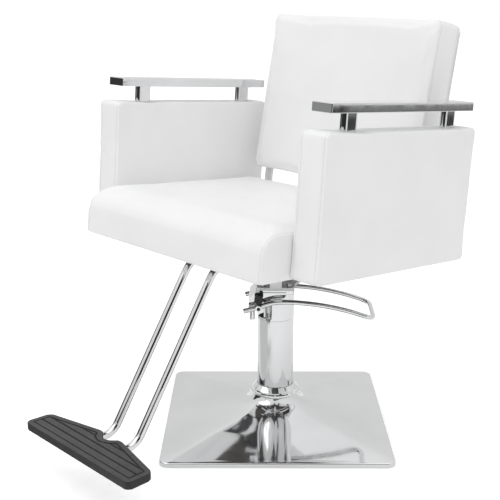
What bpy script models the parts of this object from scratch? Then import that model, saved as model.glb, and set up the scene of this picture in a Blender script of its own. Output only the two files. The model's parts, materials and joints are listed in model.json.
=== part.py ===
"""Hydraulic styling chair for a hair salon.

Metres, +Z up. The origin is on the floor on the pump's axis, the seat faces -Y, and +X is the sitter's left.
"""

import math

import bmesh
import bpy
from mathutils import Matrix, Vector

GAP = 0.0003  # between faces of two pieces that touch

# How the assemblies stand to each other
BASE_TURN = math.radians(46.5)  # the square foot, about the pump's axis
LEVER_TURN = math.radians(45)  # the lever's direction, from +X towards +Y
SEAT_TILT = math.radians(4.56)  # the seat leans back
SEAT_PIVOT_Z = 0.36  # height about which that tilt is taken
BACK_LEAN = math.radians(11.7)  # the back, from upright
BACK_FOOT = (0.151, 0.505)  # y and z of the back's lowest front edge

# Foot
BASE_HALF = 0.232
BASE_CORNER = 0.018
PAN_WALL = 0.0016
PAN_LIFT = 0.001  # the pan hangs just clear of the floor
PLATE_HALF = 0.2265
PLATE_THICK = 0.006
FLANGE_RADIUS = 0.060
FLANGE_THICK = 0.006
FLANGE_BOLT_CIRCLE = 0.049
TRIM_RING = [  # its section, radius and height
    (0.0400, 0.0840), (0.0482, 0.0748), (0.0490, 0.0722), (0.0514, 0.0702), (0.0518, 0.0680),
    (0.0508, 0.0652), (0.0490, 0.0640), (0.0450, 0.0640), (0.0450, 0.0712), (0.0385, 0.0712),
    (0.0385, 0.0840),
]

# Pump
JACKET_RADIUS = 0.038
JACKET_WALL = 0.002
JACKET_TOP = 0.2324
CYLINDER_RADIUS = 0.030
CYLINDER_BORE = 0.0265
CYLINDER_TOP = 0.215
RAM_RADIUS = 0.023
RAM_LOW, RAM_TOP = 0.0323, 0.2840
PISTON_RADIUS, GROOVE_RADIUS = 0.0258, 0.0226
PISTON_LEVELS = (0.0200, 0.0240, 0.0280, 0.0320)  # bottom, the seal's groove, top
BEARING_INNER, BEARING_OUTER, BEARING_TOP = 0.0080, 0.0215, 0.2893
HEAD_RADIUS = 0.0388
HEAD_LOW, HEAD_TOP = 0.2330, 0.3000
HEAD_BORE = 0.0236
CHEEK_HALF = 0.0405  # half width of the head's housing, across the lever
FLANGE_HALF = 0.0385  # half side of the head's square top
HEAD_BOLT = 0.027  # its four bolts, along and across the lever
BOSS_RADIUS, BOSS_HALF = 0.0085, 0.0503
STUB_RADIUS, STUB_HALF = 0.0035, 0.0640
ROLLER_INNER, ROLLER_OUTER, ROLLER_IN, ROLLER_OUT = 0.0038, 0.0090, 0.0506, 0.0630
VALVE_RADIUS, VALVE_LOW, VALVE_TOP = 0.0058, 0.2262, 0.2617
VALVE_AT = (-0.0495, -0.004)

# Lever, in its own plane: s runs from the axis towards the lever's tip
LEVER_ROD = 0.0052
LEVER_HALF = 0.056  # from the middle plane to each leg's centre line
LEVER_TIP, LEVER_BEND = 0.2010, 0.020
LEVER_TAIL = [(-0.0655, 0.2612), (-0.0500, 0.2655), (-0.0350, 0.2690), (-0.0200, 0.2755), (-0.0050, 0.2798)]
LEVER_STATIONS = (0.010, 0.035, 0.060, 0.085, 0.110, 0.135, 0.158)
PIVOT_S, PIVOT_Z = -0.035, 0.269
PIVOT_HOLE = 0.0034
ROLLER_Z = 0.2865
PLUNGER_S, PLUNGER_N = -0.0225, -0.0275
PLUNGER_RADIUS = 0.0025
PLUNGER_LOW, PLUNGER_TOP = 0.2392, 0.2666  # ends below the tongue's lowest dip
TONGUE_LOW, TONGUE_HIGH = (0.0098, -0.0504, -0.0010), (0.0162, -0.0235, 0.0040)  # from the pivot

# Seat, in the seat's tilted frame
SEAT_HALF = 0.2544
SEAT_FRONT, SEAT_REAR = -0.2945, 0.172
SEAT_LOW, SEAT_TOP = 0.3993, 0.4810
BOARD_HALF = 0.230
BOARD_FRONT, BOARD_REAR = -0.250, 0.140
BOARD_THICK = 0.012
RAIL_Y = 0.120
RAIL_HALF_WIDTH = 0.022
RAIL_HALF_LENGTH = 0.288
RAIL_LOW, RAIL_TOP = 0.3930, 0.3990
SPIDER_BOLT = 0.1167  # x and y of the bolts that hold the spider's arms
SPIDER_THICK, SPIDER_HALF_WIDTH = 0.005, 0.012
SPIDER_RISE, SPIDER_END = (0.038, 0.136), 0.182  # radii between which an arm rises, and where it ends

# Arms, in the seat's tilted frame
PANEL_IN, PANEL_OUT = 0.2571, 0.3180
PANEL_FRONT, PANEL_REAR = -0.2259, 0.1969
PANEL_LOW, PANEL_TOP = 0.3993, 0.6623
BAR_IN, BAR_OUT = 0.2645, 0.3107
BAR_FRONT, BAR_REAR = -0.2106, 0.1950
BAR_LOW, BAR_TOP = 0.6901, 0.7070
POST_Y = (-0.1410, 0.1450)
POST_LONG, POST_SHORT, POST_CORNER = 0.036, 0.016, 0.0078  # along and across the bar
ARM_BOLT_X = 0.270  # well inside the panel's outer edge, out of sight

# Back, in its own frame: t runs rearwards through it, u up along it
BACK_HALF = 0.2245
BACK_HEIGHT = 0.3425
BACK_FOAM = 0.0655
BACK_PANEL = 0.006
BACK_CORNER = 0.028
BRACKET_IN, BRACKET_OUT = 0.2035, 0.2235
BRACKET_THICK = 0.006
BRACKET_PATH = [(0.100, 0.3816), (0.1795, 0.3753), (0.1868, 0.4790), (0.2271, 0.6730)]

# Footrest, upright frame
TUBE_X = 0.036
TUBE_RADIUS = 0.0077
TUBE_PATH = [(-0.075, 0.3910), (-0.1921, 0.4003), (-0.3993, 0.0840), (-0.4518, 0.0840)]
TUBE_BENDS = [0.030, 0.038]
SADDLE_HALF = (0.055, 0.018)
SADDLE_LOW, SADDLE_TOP = 0.3700, 0.3848
PAD_LOW, PAD_TOP = 0.0845, 0.1000
PAD_FRONT = -0.512
PAD_OUTLINE = [  # right half, from the front's middle round to the notch's horn
    (0.0, PAD_FRONT), (0.1635, PAD_FRONT), (0.1610, -0.4580), (0.0340, -0.4290), (0.0240, -0.4300),
]
PAD_NOTCH_Y = -0.4460
CROSSBAR = (0.134, -0.4822, -0.4522, 0.0790, 0.0912)  # half length, front, rear, low, top


# ---------------------------------------------------------------- scene, materials, helpers

def clear_scene():
    for obj in list(bpy.data.objects):
        bpy.data.objects.remove(obj, do_unlink=True)


def new_collection(name, hidden=False):
    collection = bpy.data.collections.new(name)
    bpy.context.scene.collection.children.link(collection)
    collection.hide_render = hidden
    return collection


def make_material(name, colour, roughness, metallic):
    material = bpy.data.materials.new(name)
    material.use_nodes = True
    shader = material.node_tree.nodes["Principled BSDF"]
    shader.inputs["Base Color"].default_value = (*colour, 1)
    shader.inputs["Roughness"].default_value = roughness
    shader.inputs["Metallic"].default_value = metallic
    material.diffuse_color = (*colour, 1)
    return material


clear_scene()
PARTS = new_collection("styling_chair")
CUTTERS = new_collection("cutters", hidden=True)

CHROME = make_material("chrome", (0.80, 0.81, 0.82), 0.08, 1.0)
STEEL = make_material("steel", (0.45, 0.46, 0.47), 0.40, 1.0)
BLACK_STEEL = make_material("black_steel", (0.03, 0.03, 0.032), 0.45, 0.4)
WHITE_STEEL = make_material("white_steel", (0.86, 0.86, 0.86), 0.38, 0.0)
IRON = make_material("iron", (0.16, 0.16, 0.17), 0.55, 0.8)
RUBBER = make_material("rubber", (0.05, 0.05, 0.05), 0.75, 0.0)
TREAD = make_material("tread", (0.07, 0.07, 0.072), 0.60, 0.0)
VINYL = make_material("white_vinyl", (0.88, 0.88, 0.88), 0.42, 0.0)
PLYWOOD = make_material("plywood", (0.075, 0.070, 0.065), 0.70, 0.0)  # stained black


def place(obj, parent, location=(0, 0, 0), rotation=(0, 0, 0)):
    obj.parent = parent
    obj.location = location
    obj.rotation_euler = rotation
    return obj


def empty(name, parent=None, location=(0, 0, 0), rotation=(0, 0, 0)):
    obj = bpy.data.objects.new(name, None)
    PARTS.objects.link(obj)
    return place(obj, parent, location, rotation)


def object_from(name, bm, material=None, parent=None, smooth=True):
    """The bmesh as a new object: a part when it has a material, otherwise a cutter."""
    bmesh.ops.recalc_face_normals(bm, faces=bm.faces)
    mesh = bpy.data.meshes.new(name)
    bm.to_mesh(mesh)
    bm.free()
    obj = bpy.data.objects.new(name, mesh)
    if material:
        mesh.materials.append(material)
        PARTS.objects.link(obj)
    else:
        obj.hide_render = True
        obj.display_type = "WIRE"
        CUTTERS.objects.link(obj)
    if smooth:
        mesh.shade_smooth()
        mesh.set_sharp_from_angle(angle=math.radians(35))
    return place(obj, parent)


def box(name, low, high, material=None, parent=None):
    bm = bmesh.new()
    bmesh.ops.create_cube(bm, size=1)
    size = Vector(high) - Vector(low)
    middle = (Vector(high) + Vector(low)) / 2
    bmesh.ops.scale(bm, vec=size, verts=bm.verts)
    bmesh.ops.translate(bm, vec=middle, verts=bm.verts)
    return object_from(name, bm, material, parent, smooth=False)


def cylinder(name, radius, low, high, material=None, parent=None, at=(0, 0), along="Z", sides=32):
    """A cylinder from low to high along an axis; at holds its centre's other two coordinates."""
    bm = bmesh.new()
    bmesh.ops.create_cone(
        bm, cap_ends=True, segments=sides, radius1=radius, radius2=radius, depth=high - low
    )
    middle = (low + high) / 2
    if along == "X":
        bmesh.ops.rotate(bm, matrix=Matrix.Rotation(math.pi / 2, 3, "Y"), verts=bm.verts)
        centre = (middle, *at)
    elif along == "Y":
        bmesh.ops.rotate(bm, matrix=Matrix.Rotation(math.pi / 2, 3, "X"), verts=bm.verts)
        centre = (at[0], middle, at[1])
    else:
        centre = (*at, middle)
    bmesh.ops.translate(bm, vec=centre, verts=bm.verts)
    return object_from(name, bm, material, parent)


def bevel(obj, width, segments=1, angle=40):
    modifier = obj.modifiers.new("edges", "BEVEL")
    modifier.width = width
    modifier.segments = segments
    modifier.limit_method = "ANGLE"
    modifier.angle_limit = math.radians(angle)
    return obj


def boolean(obj, other, operation="DIFFERENCE"):
    modifier = obj.modifiers.new(other.name, "BOOLEAN")
    modifier.operation = operation
    modifier.object = other
    return obj


def cut(obj, *others):
    for other in others:
        boolean(obj, other)
    return obj


def join(obj, *others):
    for other in others:
        boolean(obj, other, "UNION")
    return obj


def turned(name, profile, material, parent=None, steps=48, closed=False, **placing):
    """A profile of (radius, height), down its outer side first, turned about its object's Z."""
    bm = bmesh.new()
    points = [bm.verts.new((radius, 0, height)) for radius, height in profile]
    for first, second in zip(points, points[1:] + points[:1] if closed else points[1:]):
        bm.edges.new((first, second))
    mesh = bpy.data.meshes.new(name)
    bm.to_mesh(mesh)
    bm.free()
    mesh.materials.append(material)
    obj = bpy.data.objects.new(name, mesh)
    PARTS.objects.link(obj)
    screw = obj.modifiers.new("turn", "SCREW")
    screw.steps = screw.render_steps = steps
    screw.use_merge_vertices = True
    screw.merge_threshold = 0.00002
    return place(obj, parent, **placing)


def ring(name, inner, outer, low, high, material, parent=None, steps=48):
    profile = [(outer, high), (outer, low), (inner, low), (inner, high)]
    return turned(name, profile, material, parent, steps, closed=True)


def cap_screw(name, parent, location, rotation=(0, 0, 0), head=(0.006, 0.006), shank=(0.0032, 0.010)):
    """A socket screw whose head stands on the local XY plane and whose shank runs down local Z."""
    head_radius, head_height = head
    shank_radius, shank_length = shank
    profile = [
        (0, head_height), (head_radius, head_height), (head_radius, 0),
        (shank_radius, 0), (shank_radius, -shank_length), (0, -shank_length),
    ]
    return turned(name, profile, STEEL, parent, steps=10, location=location, rotation=rotation)


def as_mesh(obj):
    """Replaces a curve object by the closed mesh that it draws."""
    bpy.context.view_layer.update()
    graph = bpy.context.evaluated_depsgraph_get()
    mesh = bpy.data.meshes.new_from_object(obj.evaluated_get(graph))
    bm = bmesh.new()
    bm.from_mesh(mesh)
    bmesh.ops.remove_doubles(bm, verts=bm.verts, dist=0.00001)
    bmesh.ops.recalc_face_normals(bm, faces=bm.faces)
    bm.to_mesh(mesh)
    bm.free()
    name, parent, collection = obj.name, obj.parent, obj.users_collection[0]
    basis = obj.matrix_basis.copy()
    hidden = obj.hide_render
    bpy.data.objects.remove(obj, do_unlink=True)
    made = bpy.data.objects.new(name, mesh)
    collection.objects.link(made)
    made.parent = parent
    made.matrix_basis = basis
    if hidden:
        made.hide_render = True
        made.display_type = "WIRE"
    mesh.shade_smooth()
    mesh.set_sharp_from_angle(angle=math.radians(35))
    return made


def poly_curve(name, points, material, cyclic=False):
    curve = bpy.data.curves.new(name, "CURVE")
    spline = curve.splines.new("POLY")
    spline.points.add(len(points) - 1)
    for point, place_at in zip(spline.points, points):
        point.co = (*place_at, 1)
    spline.use_cyclic_u = cyclic
    obj = bpy.data.objects.new(name, curve)
    if material:
        curve.materials.append(material)
        PARTS.objects.link(obj)
    else:
        obj.hide_render = True
        CUTTERS.objects.link(obj)
    return obj


def plate(name, outline, low, high, material=None, parent=None, frame=None):
    """A flat outline in XY from low to high in Z, then turned and moved by frame, as one closed mesh."""
    middle = (low + high) / 2
    obj = poly_curve(name, [(x, y, 0) for x, y in outline], material, cyclic=True)
    obj.data.dimensions = "2D"
    obj.data.fill_mode = "BOTH"
    obj.data.extrude = (high - low) / 2
    obj = as_mesh(obj)
    obj.data.transform((frame or Matrix()) @ Matrix.Translation((0, 0, middle)))
    return place(obj, parent)


def tube(name, path, radius, material, parent=None, sides_step=3):
    obj = poly_curve(name, path, material)
    obj.data.dimensions = "3D"
    obj.data.bevel_depth = radius
    obj.data.bevel_resolution = sides_step
    obj.data.use_fill_caps = True
    return place(as_mesh(obj), parent)


def rounded(path, radii, steps=5, cyclic=False):
    """A polyline of 2D or 3D points with an arc of the given radius at each inner corner."""
    points = [Vector(point) for point in path]
    count = len(points)
    corners = range(count) if cyclic else range(1, count - 1)
    result = [] if cyclic else [points[0]]
    for order, i in enumerate(corners):
        radius = radii[order] if isinstance(radii, (list, tuple)) else radii
        here = points[i]
        back = (points[i - 1] - here).normalized()
        on = (points[(i + 1) % count] - here).normalized()
        half = math.acos(max(-1.0, min(1.0, back.dot(on)))) / 2
        if radius <= 0 or half > math.radians(89.5):
            result.append(here)
            continue
        centre = here + (back + on).normalized() * (radius / math.sin(half))
        start = here + back * (radius / math.tan(half)) - centre
        end = here + on * (radius / math.tan(half)) - centre
        sweep = start.angle(end)
        for k in range(steps + 1):
            t = k / steps
            mixed = start * math.sin((1 - t) * sweep) + end * math.sin(t * sweep)
            result.append(centre + mixed / math.sin(sweep))
    if not cyclic:
        result.append(points[-1])
    return [tuple(point) for point in result]


def rounded_box_outline(low, high, radius, steps=4):
    (x0, y0), (x1, y1) = low, high
    return rounded([(x0, y0), (x1, y0), (x1, y1), (x0, y1)], radius, steps, cyclic=True)


def strip(path, thickness):
    """The outline of a bent flat bar: a 2D centre line thickened to both sides."""
    points = [Vector(point) for point in path]
    left, right = [], []
    for i, here in enumerate(points):
        before = points[max(i - 1, 0)]
        after = points[min(i + 1, len(points) - 1)]
        first = (here - before).normalized() if i else (after - here).normalized()
        second = (after - here).normalized() if i < len(points) - 1 else first
        normal = Vector((-(first + second).y, (first + second).x)).normalized()
        stretch = 1 / max(normal.dot(Vector((-first.y, first.x))), 0.5)
        left.append(tuple(here + normal * thickness / 2 * stretch))
        right.append(tuple(here - normal * thickness / 2 * stretch))
    return left + right[::-1]


# Turns a plate drawn in XY so that its x, y and thickness lie along the named axes
ALONG_X = Matrix(((0, 0, 1, 0), (1, 0, 0, 0), (0, 1, 0, 0), (0, 0, 0, 1)))  # drawn in YZ, thick in X
ALONG_Y = Matrix(((1, 0, 0, 0), (0, 0, -1, 0), (0, 1, 0, 0), (0, 0, 0, 1)))  # drawn in XZ, thick in -Y


# ---------------------------------------------------------------- frames of the moving assemblies

base_turn = empty("base_turn", rotation=(0, 0, BASE_TURN))
lift_carriage = empty("lift_carriage")
swivel_axis = empty("swivel_axis", lift_carriage)
lever_frame = empty("lever_frame", swivel_axis, rotation=(0, 0, LEVER_TURN))
lever_pivot = empty("lever_pivot", lever_frame, location=(PIVOT_S, 0, PIVOT_Z))
seat_frame = empty("seat_frame", swivel_axis, location=(0, 0, SEAT_PIVOT_Z), rotation=(-SEAT_TILT, 0, 0))
seat_zero = empty("seat_zero", seat_frame, location=(0, 0, -SEAT_PIVOT_Z))
back_frame = empty("back_frame", swivel_axis, location=(0, *BACK_FOOT), rotation=(-BACK_LEAN, 0, 0))


# ---------------------------------------------------------------- foot

def pan_ring(half, height, roundness):
    """Points round the pan at one level: a rounded square that turns into a circle as roundness goes to 1."""
    outline = []
    straight, arc = 8, 5
    inner = BASE_HALF - BASE_CORNER
    for quarter in range(4):
        turn = Matrix.Rotation(quarter * math.pi / 2, 2)
        for k in range(straight):
            outline.append(turn @ Vector((BASE_HALF, inner * (2 * k / straight - 1))))
        for k in range(arc):
            angle = k / arc * math.pi / 2
            corner = Vector((math.cos(angle), math.sin(angle))) * BASE_CORNER
            outline.append(turn @ (Vector((inner, inner)) + corner))
    points = []
    for point in outline:
        square = point * (half / BASE_HALF)
        circle = point.normalized() * half
        mixed = square.lerp(circle, roundness)
        points.append((mixed.x, mixed.y, height))
    return points


def base_pan():
    """A pressed pyramid whose corners run in as ridges and whose middle flares up into a round neck."""
    levels = [
        (0.2320, PAN_LIFT), (0.2320, 0.0072), (0.2312, 0.0092), (0.2295, 0.0102), (0.2240, 0.0108),
        (0.2000, 0.0145), (0.1700, 0.0192), (0.1400, 0.0240), (0.1120, 0.0288), (0.0880, 0.0340),
        (0.0700, 0.0398), (0.0575, 0.0470), (0.0490, 0.0560), (0.0440, 0.0640), (0.0418, 0.0700),
    ]
    bm = bmesh.new()
    rings = []
    for half, height in levels:
        ease = max(0.0, min(1.0, (0.135 - half) / 0.085))
        roundness = ease * ease * (3 - 2 * ease)
        rings.append([bm.verts.new(point) for point in pan_ring(half, height, roundness)])
    for lower, upper in zip(rings, rings[1:]):
        for i in range(len(lower)):
            j = (i + 1) % len(lower)
            bm.faces.new((lower[i], lower[j], upper[j], upper[i]))
    pan = object_from("base_pan", bm, CHROME, base_turn)
    wall = pan.modifiers.new("wall", "SOLIDIFY")
    wall.thickness = PAN_WALL
    wall.offset = -1
    return pan


def foot():
    base_pan()
    outline = rounded_box_outline((-PLATE_HALF, -PLATE_HALF), (PLATE_HALF, PLATE_HALF), 0.014)
    ground = plate("base_plate", outline, 0, PLATE_THICK, IRON, base_turn)
    flange_low = PLATE_THICK + GAP
    flange_top = flange_low + FLANGE_THICK
    flange = cylinder("pump_flange", FLANGE_RADIUS, flange_low, flange_top, STEEL, base_turn)
    for i in range(4):
        angle = math.radians(90 * i)
        at = (FLANGE_BOLT_CIRCLE * math.cos(angle), FLANGE_BOLT_CIRCLE * math.sin(angle))
        name = f"flange_bolt_{i + 1}"
        hole = cylinder(f"{name}_hole", 0.0044, -0.01, 0.03, parent=base_turn, at=at, sides=12)
        cut(ground, hole)
        cut(flange, hole)
        cap_screw(
            name, base_turn, (*at, flange_top + GAP), head=(0.0065, 0.006), shank=(0.0038, 0.011)
        )
    turned("trim_ring", TRIM_RING, CHROME, base_turn, closed=True)


# ---------------------------------------------------------------- pump

def pump():
    floor_z = PLATE_THICK + FLANGE_THICK + 2 * GAP
    ring("jacket_tube", JACKET_RADIUS - JACKET_WALL, JACKET_RADIUS, floor_z, JACKET_TOP, CHROME, base_turn)
    cup = [
        (CYLINDER_RADIUS, CYLINDER_TOP), (CYLINDER_RADIUS, floor_z), (0, floor_z),
        (0, floor_z + 0.006), (CYLINDER_BORE, floor_z + 0.006), (CYLINDER_BORE, CYLINDER_TOP),
    ]
    turned("pump_cylinder", cup, STEEL, base_turn, steps=40, closed=True)
    ring("cylinder_gland", RAM_RADIUS + 0.0005, 0.0356, CYLINDER_TOP + GAP, JACKET_TOP - 0.0002, RUBBER,
         base_turn, steps=40)

    cylinder("ram", RAM_RADIUS, RAM_LOW, RAM_TOP, CHROME, lift_carriage, sides=40)
    low, groove_low, groove_top, top = PISTON_LEVELS
    piston = [
        (0, top), (PISTON_RADIUS, top), (PISTON_RADIUS, groove_top), (GROOVE_RADIUS, groove_top),
        (GROOVE_RADIUS, groove_low), (PISTON_RADIUS, groove_low), (PISTON_RADIUS, low), (0, low),
    ]
    turned("piston", piston, STEEL, lift_carriage, steps=32)
    ring("piston_seal", GROOVE_RADIUS + GAP, PISTON_RADIUS + 0.0004, groove_low + GAP, groove_top - GAP,
         RUBBER, lift_carriage, steps=32)
    ring("swivel_bearing", BEARING_INNER, BEARING_OUTER, RAM_TOP + GAP, BEARING_TOP, STEEL, lift_carriage,
         steps=32)


def pump_head():
    """The casting that carries the seat: a collar, a sloping housing, lever bosses and a square top."""
    head = cylinder("pump_head", HEAD_RADIUS, HEAD_LOW, 0.2940, CHROME, lever_frame, sides=48)
    side_view = rounded(
        [(-0.0560, 0.2620), (-0.0560, 0.2830), (-0.0420, 0.2960), (0.0235, 0.2960), (0.0180, 0.2850),
         (0.0060, 0.2790), (-0.0120, 0.2745), (-0.0270, 0.2720), (-0.0300, 0.2620)],
        [0.0010, 0.0040, 0.0040, 0.0020, 0.0080, 0.0150, 0.0150, 0.0030, 0.0010], steps=3, cyclic=True,
    )
    turn = Matrix.Rotation(math.pi / 2, 4, "X")  # drawn in XZ, thick in -Y
    housing = plate("head_housing", side_view, -CHEEK_HALF, CHEEK_HALF, frame=turn, parent=lever_frame)
    outline = rounded_box_outline((-FLANGE_HALF, -FLANGE_HALF), (FLANGE_HALF, FLANGE_HALF), 0.006, 3)
    top = plate("head_top", outline, 0.2920, HEAD_TOP, parent=lever_frame)
    bosses = cylinder(
        "head_bosses", BOSS_RADIUS, -BOSS_HALF, BOSS_HALF, parent=lever_frame, at=(PIVOT_S, PIVOT_Z),
        along="Y", sides=24,
    )
    stubs = cylinder(
        "head_stubs", STUB_RADIUS, -STUB_HALF, STUB_HALF, parent=lever_frame, at=(PIVOT_S, ROLLER_Z),
        along="Y", sides=16,
    )
    join(head, housing, top, bosses, stubs)
    cut(
        head,
        cylinder("ram_bore", HEAD_BORE, 0.2, 0.2896, parent=lever_frame, sides=40),
        box("window_low", (-0.0370, -0.0500, 0.2370), (-0.0080, -0.0110, 0.2565), parent=lever_frame),
        box("window_high", (-0.0295, -0.0500, 0.2500), (-0.0080, -0.0110, 0.2760), parent=lever_frame),
        cylinder("plunger_hole", 0.0031, 0.2, 0.25, parent=lever_frame, at=(PLUNGER_S, PLUNGER_N), sides=16),
    )
    for side in (-1, 1):
        low, high = sorted((side * 0.034, side * 0.060))
        hole = cylinder(
            f"pivot_hole_{side}", PIVOT_HOLE, low, high, parent=lever_frame, at=(PIVOT_S, PIVOT_Z), along="Y",
            sides=12,
        )
        cut(head, hole)
    for x in (-HEAD_BOLT, HEAD_BOLT):
        for y in (-HEAD_BOLT, HEAD_BOLT):
            hole = cylinder("head_bolt_hole", 0.0038, 0.2935, 0.31, parent=lever_frame, at=(x, y), sides=12)
            cut(head, hole)


def head_pieces():
    pump_head()
    cylinder("valve_barrel", VALVE_RADIUS, VALVE_LOW, VALVE_TOP, CHROME, lever_frame, at=VALVE_AT, sides=24)
    for name, side in (("near", -1), ("far", 1)):
        roller = ring(f"stop_roller_{name}", ROLLER_INNER, ROLLER_OUTER, ROLLER_IN, ROLLER_OUT, RUBBER,
                      lever_frame, steps=28)
        place(roller, lever_frame, (PIVOT_S, 0, ROLLER_Z), (side * -math.pi / 2, 0, 0))
        cap_screw(
            f"pivot_bolt_{name}", lever_frame, (PIVOT_S, side * (LEVER_HALF + LEVER_ROD + GAP), PIVOT_Z),
            rotation=(side * -math.pi / 2, 0, 0), head=(0.0064, 0.005), shank=(0.0030, 0.0245),
        )


# ---------------------------------------------------------------- lever

def lever_height(s):
    """Height of the lever's centre line: level over the pivot, then drooping to the tip."""
    return 0.2812 + 0.03 * s - 1.0 * s * s


def lever():
    leg = LEVER_TAIL + [(s, lever_height(s)) for s in LEVER_STATIONS]
    near = [(s, -LEVER_HALF, z) for s, z in leg]
    ends = [(LEVER_TIP, side * LEVER_HALF, lever_height(LEVER_TIP)) for side in (-1, 1)]
    path = rounded(near[-1:] + ends + [(near[-1][0], LEVER_HALF, near[-1][2])], LEVER_BEND, steps=5)
    far = [(s, LEVER_HALF, z) for s, z in reversed(leg)]
    loop = near[:-1] + path + far[1:]
    origin = Vector((PIVOT_S, 0, PIVOT_Z))
    rod = tube("pump_lever", [tuple(Vector(p) - origin) for p in loop], LEVER_ROD, CHROME, lever_pivot)
    cut(rod, cylinder("lever_eyes", PIVOT_HOLE, -0.08, 0.08, parent=lever_pivot, along="Y", sides=12))
    box("lever_tongue", TONGUE_LOW, TONGUE_HIGH, STEEL, lever_pivot)
    half = (PLUNGER_TOP - PLUNGER_LOW) / 2
    plunger = cylinder("pump_plunger", PLUNGER_RADIUS, -half, half, CHROME, lever_frame, sides=16)
    place(plunger, lever_frame, (PLUNGER_S, PLUNGER_N, PLUNGER_LOW + half))


# ---------------------------------------------------------------- seat and its carriers

def rail_plane(y):
    """World height of the rails' underside at a world y."""
    return SEAT_PIVOT_Z + (RAIL_LOW - SEAT_PIVOT_Z) / math.cos(SEAT_TILT) - y * math.tan(SEAT_TILT)


def spider():
    """Four bent flat bars that rise from a square hub to the rails, one along each diagonal of the seat."""
    hub_low = HEAD_TOP + GAP
    hub_top = hub_low + 0.006
    outline = rounded_box_outline((-FLANGE_HALF, -FLANGE_HALF), (FLANGE_HALF, FLANGE_HALF), 0.006, 3)
    hub = plate("seat_spider", outline, hub_low, hub_top, WHITE_STEEL, lever_frame)
    under_rail = 0.0011 + SPIDER_THICK / 2
    inner, outer = SPIDER_RISE
    for i in range(4):
        direction = math.radians(45 + 90 * i)
        rise = math.sin(direction)
        path = [
            (0.004, hub_low + 0.003), (inner, hub_low + 0.003),
            (outer, rail_plane(outer * rise) - under_rail),
            (SPIDER_END, rail_plane(SPIDER_END * rise) - under_rail),
        ]
        outline = strip(rounded(path, 0.012, steps=2), SPIDER_THICK)
        turn = Matrix.Rotation(math.pi / 2, 4, "X")
        spoke = plate(f"spider_arm_{i}", outline, -SPIDER_HALF_WIDTH, SPIDER_HALF_WIDTH, frame=turn)
        place(spoke, swivel_axis, rotation=(0, 0, direction))
        join(hub, spoke)
    for i, (x, y) in enumerate(((1, 1), (-1, 1), (-1, -1), (1, -1))):
        at = (x * HEAD_BOLT, y * HEAD_BOLT)
        cut(hub, cylinder("hub_hole", 0.0038, 0.29, 0.32, parent=lever_frame, at=at, sides=12))
        cap_screw(
            f"head_bolt_{i + 1}", lever_frame, (*at, hub_top + GAP), head=(0.006, 0.006),
            shank=(0.0033, 0.0115),
        )
        at = (x * SPIDER_BOLT, y * SPIDER_BOLT)
        cut(hub, cylinder("spoke_hole", 0.0045, 0.37, 0.42, parent=seat_zero, at=at, sides=12))
        cap_screw(
            f"spider_bolt_{i + 1}", seat_zero, (*at, RAIL_LOW - 0.0076), rotation=(math.pi, 0, 0),
            head=(0.0065, 0.005), shank=(0.0032, 0.0225),
        )


def seat():
    board_top = SEAT_LOW + BOARD_THICK
    outline = [(SEAT_FRONT, SEAT_LOW), (SEAT_REAR, SEAT_LOW), (SEAT_REAR, SEAT_TOP + 0.004),
               (SEAT_FRONT, SEAT_TOP)]
    profile = rounded(outline, [0.014, 0.010, 0.016, 0.036], steps=5, cyclic=True)
    cushion = plate("seat_cushion", profile, -SEAT_HALF, SEAT_HALF, VINYL, seat_zero, ALONG_X)
    bevel(cushion, 0.010, 2)
    cut(cushion, box("board_recess", (-BOARD_HALF - 0.001, BOARD_FRONT - 0.001, 0.39),
                     (BOARD_HALF + 0.001, BOARD_REAR + 0.001, board_top + GAP), parent=seat_zero))
    board = box("seat_board", (-BOARD_HALF, BOARD_FRONT, SEAT_LOW), (BOARD_HALF, BOARD_REAR, board_top),
                PLYWOOD, seat_zero)
    rails = [
        box(name, (-RAIL_HALF_LENGTH, y - RAIL_HALF_WIDTH, RAIL_LOW),
            (RAIL_HALF_LENGTH, y + RAIL_HALF_WIDTH, RAIL_TOP), BLACK_STEEL, seat_zero)
        for name, y in (("front_rail", -RAIL_Y), ("rear_rail", RAIL_Y))
    ]
    for x in (-SPIDER_BOLT, SPIDER_BOLT):
        for rail, y in zip(rails, (-SPIDER_BOLT, SPIDER_BOLT)):
            hole = cylinder("rail_hole", 0.0040, 0.38, 0.4095, parent=seat_zero, at=(x, y), sides=12)
            cut(rail, hole)
            cut(board, hole)
    return board, rails


# ---------------------------------------------------------------- arms

def arms(rails):
    for side, name in ((1, "left"), (-1, "right")):
        outline = rounded_box_outline((PANEL_FRONT, PANEL_LOW), (PANEL_REAR, PANEL_TOP), 0.022, 4)
        low, high = sorted((side * PANEL_IN, side * PANEL_OUT))
        panel = plate(f"arm_panel_{name}", outline, low, high, VINYL, seat_zero, ALONG_X)
        bevel(panel, 0.007, 2)
        middle = side * (BAR_IN + BAR_OUT) / 2
        low, high = sorted((side * BAR_IN, side * BAR_OUT))
        bar = box(f"arm_bar_{name}", (low, BAR_FRONT, BAR_LOW), (high, BAR_REAR, BAR_TOP), CHROME, seat_zero)
        bevel(bar, 0.0014, 2)
        for rail, y, where in zip(rails, (-RAIL_Y, RAIL_Y), ("front", "rear")):
            at = (side * ARM_BOLT_X, y)
            hole = cylinder("arm_bolt_hole", 0.0040, 0.38, 0.4180, parent=seat_zero, at=at, sides=12)
            cut(rail, hole)
            cut(panel, hole)
            cap_screw(
                f"arm_bolt_{where}_{name}", seat_zero, (*at, RAIL_LOW - GAP), rotation=(math.pi, 0, 0),
                head=(0.0065, 0.005), shank=(0.0032, 0.0240),
            )
        for y, where in zip(POST_Y, ("front", "rear")):
            half_long, half_short = POST_LONG / 2, POST_SHORT / 2
            outline = rounded_box_outline(
                (middle - half_short, y - half_long), (middle + half_short, y + half_long), POST_CORNER, 5
            )
            plate(f"arm_post_{where}_{name}", outline, PANEL_TOP + GAP, BAR_LOW - GAP, CHROME, seat_zero)


# ---------------------------------------------------------------- back

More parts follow.
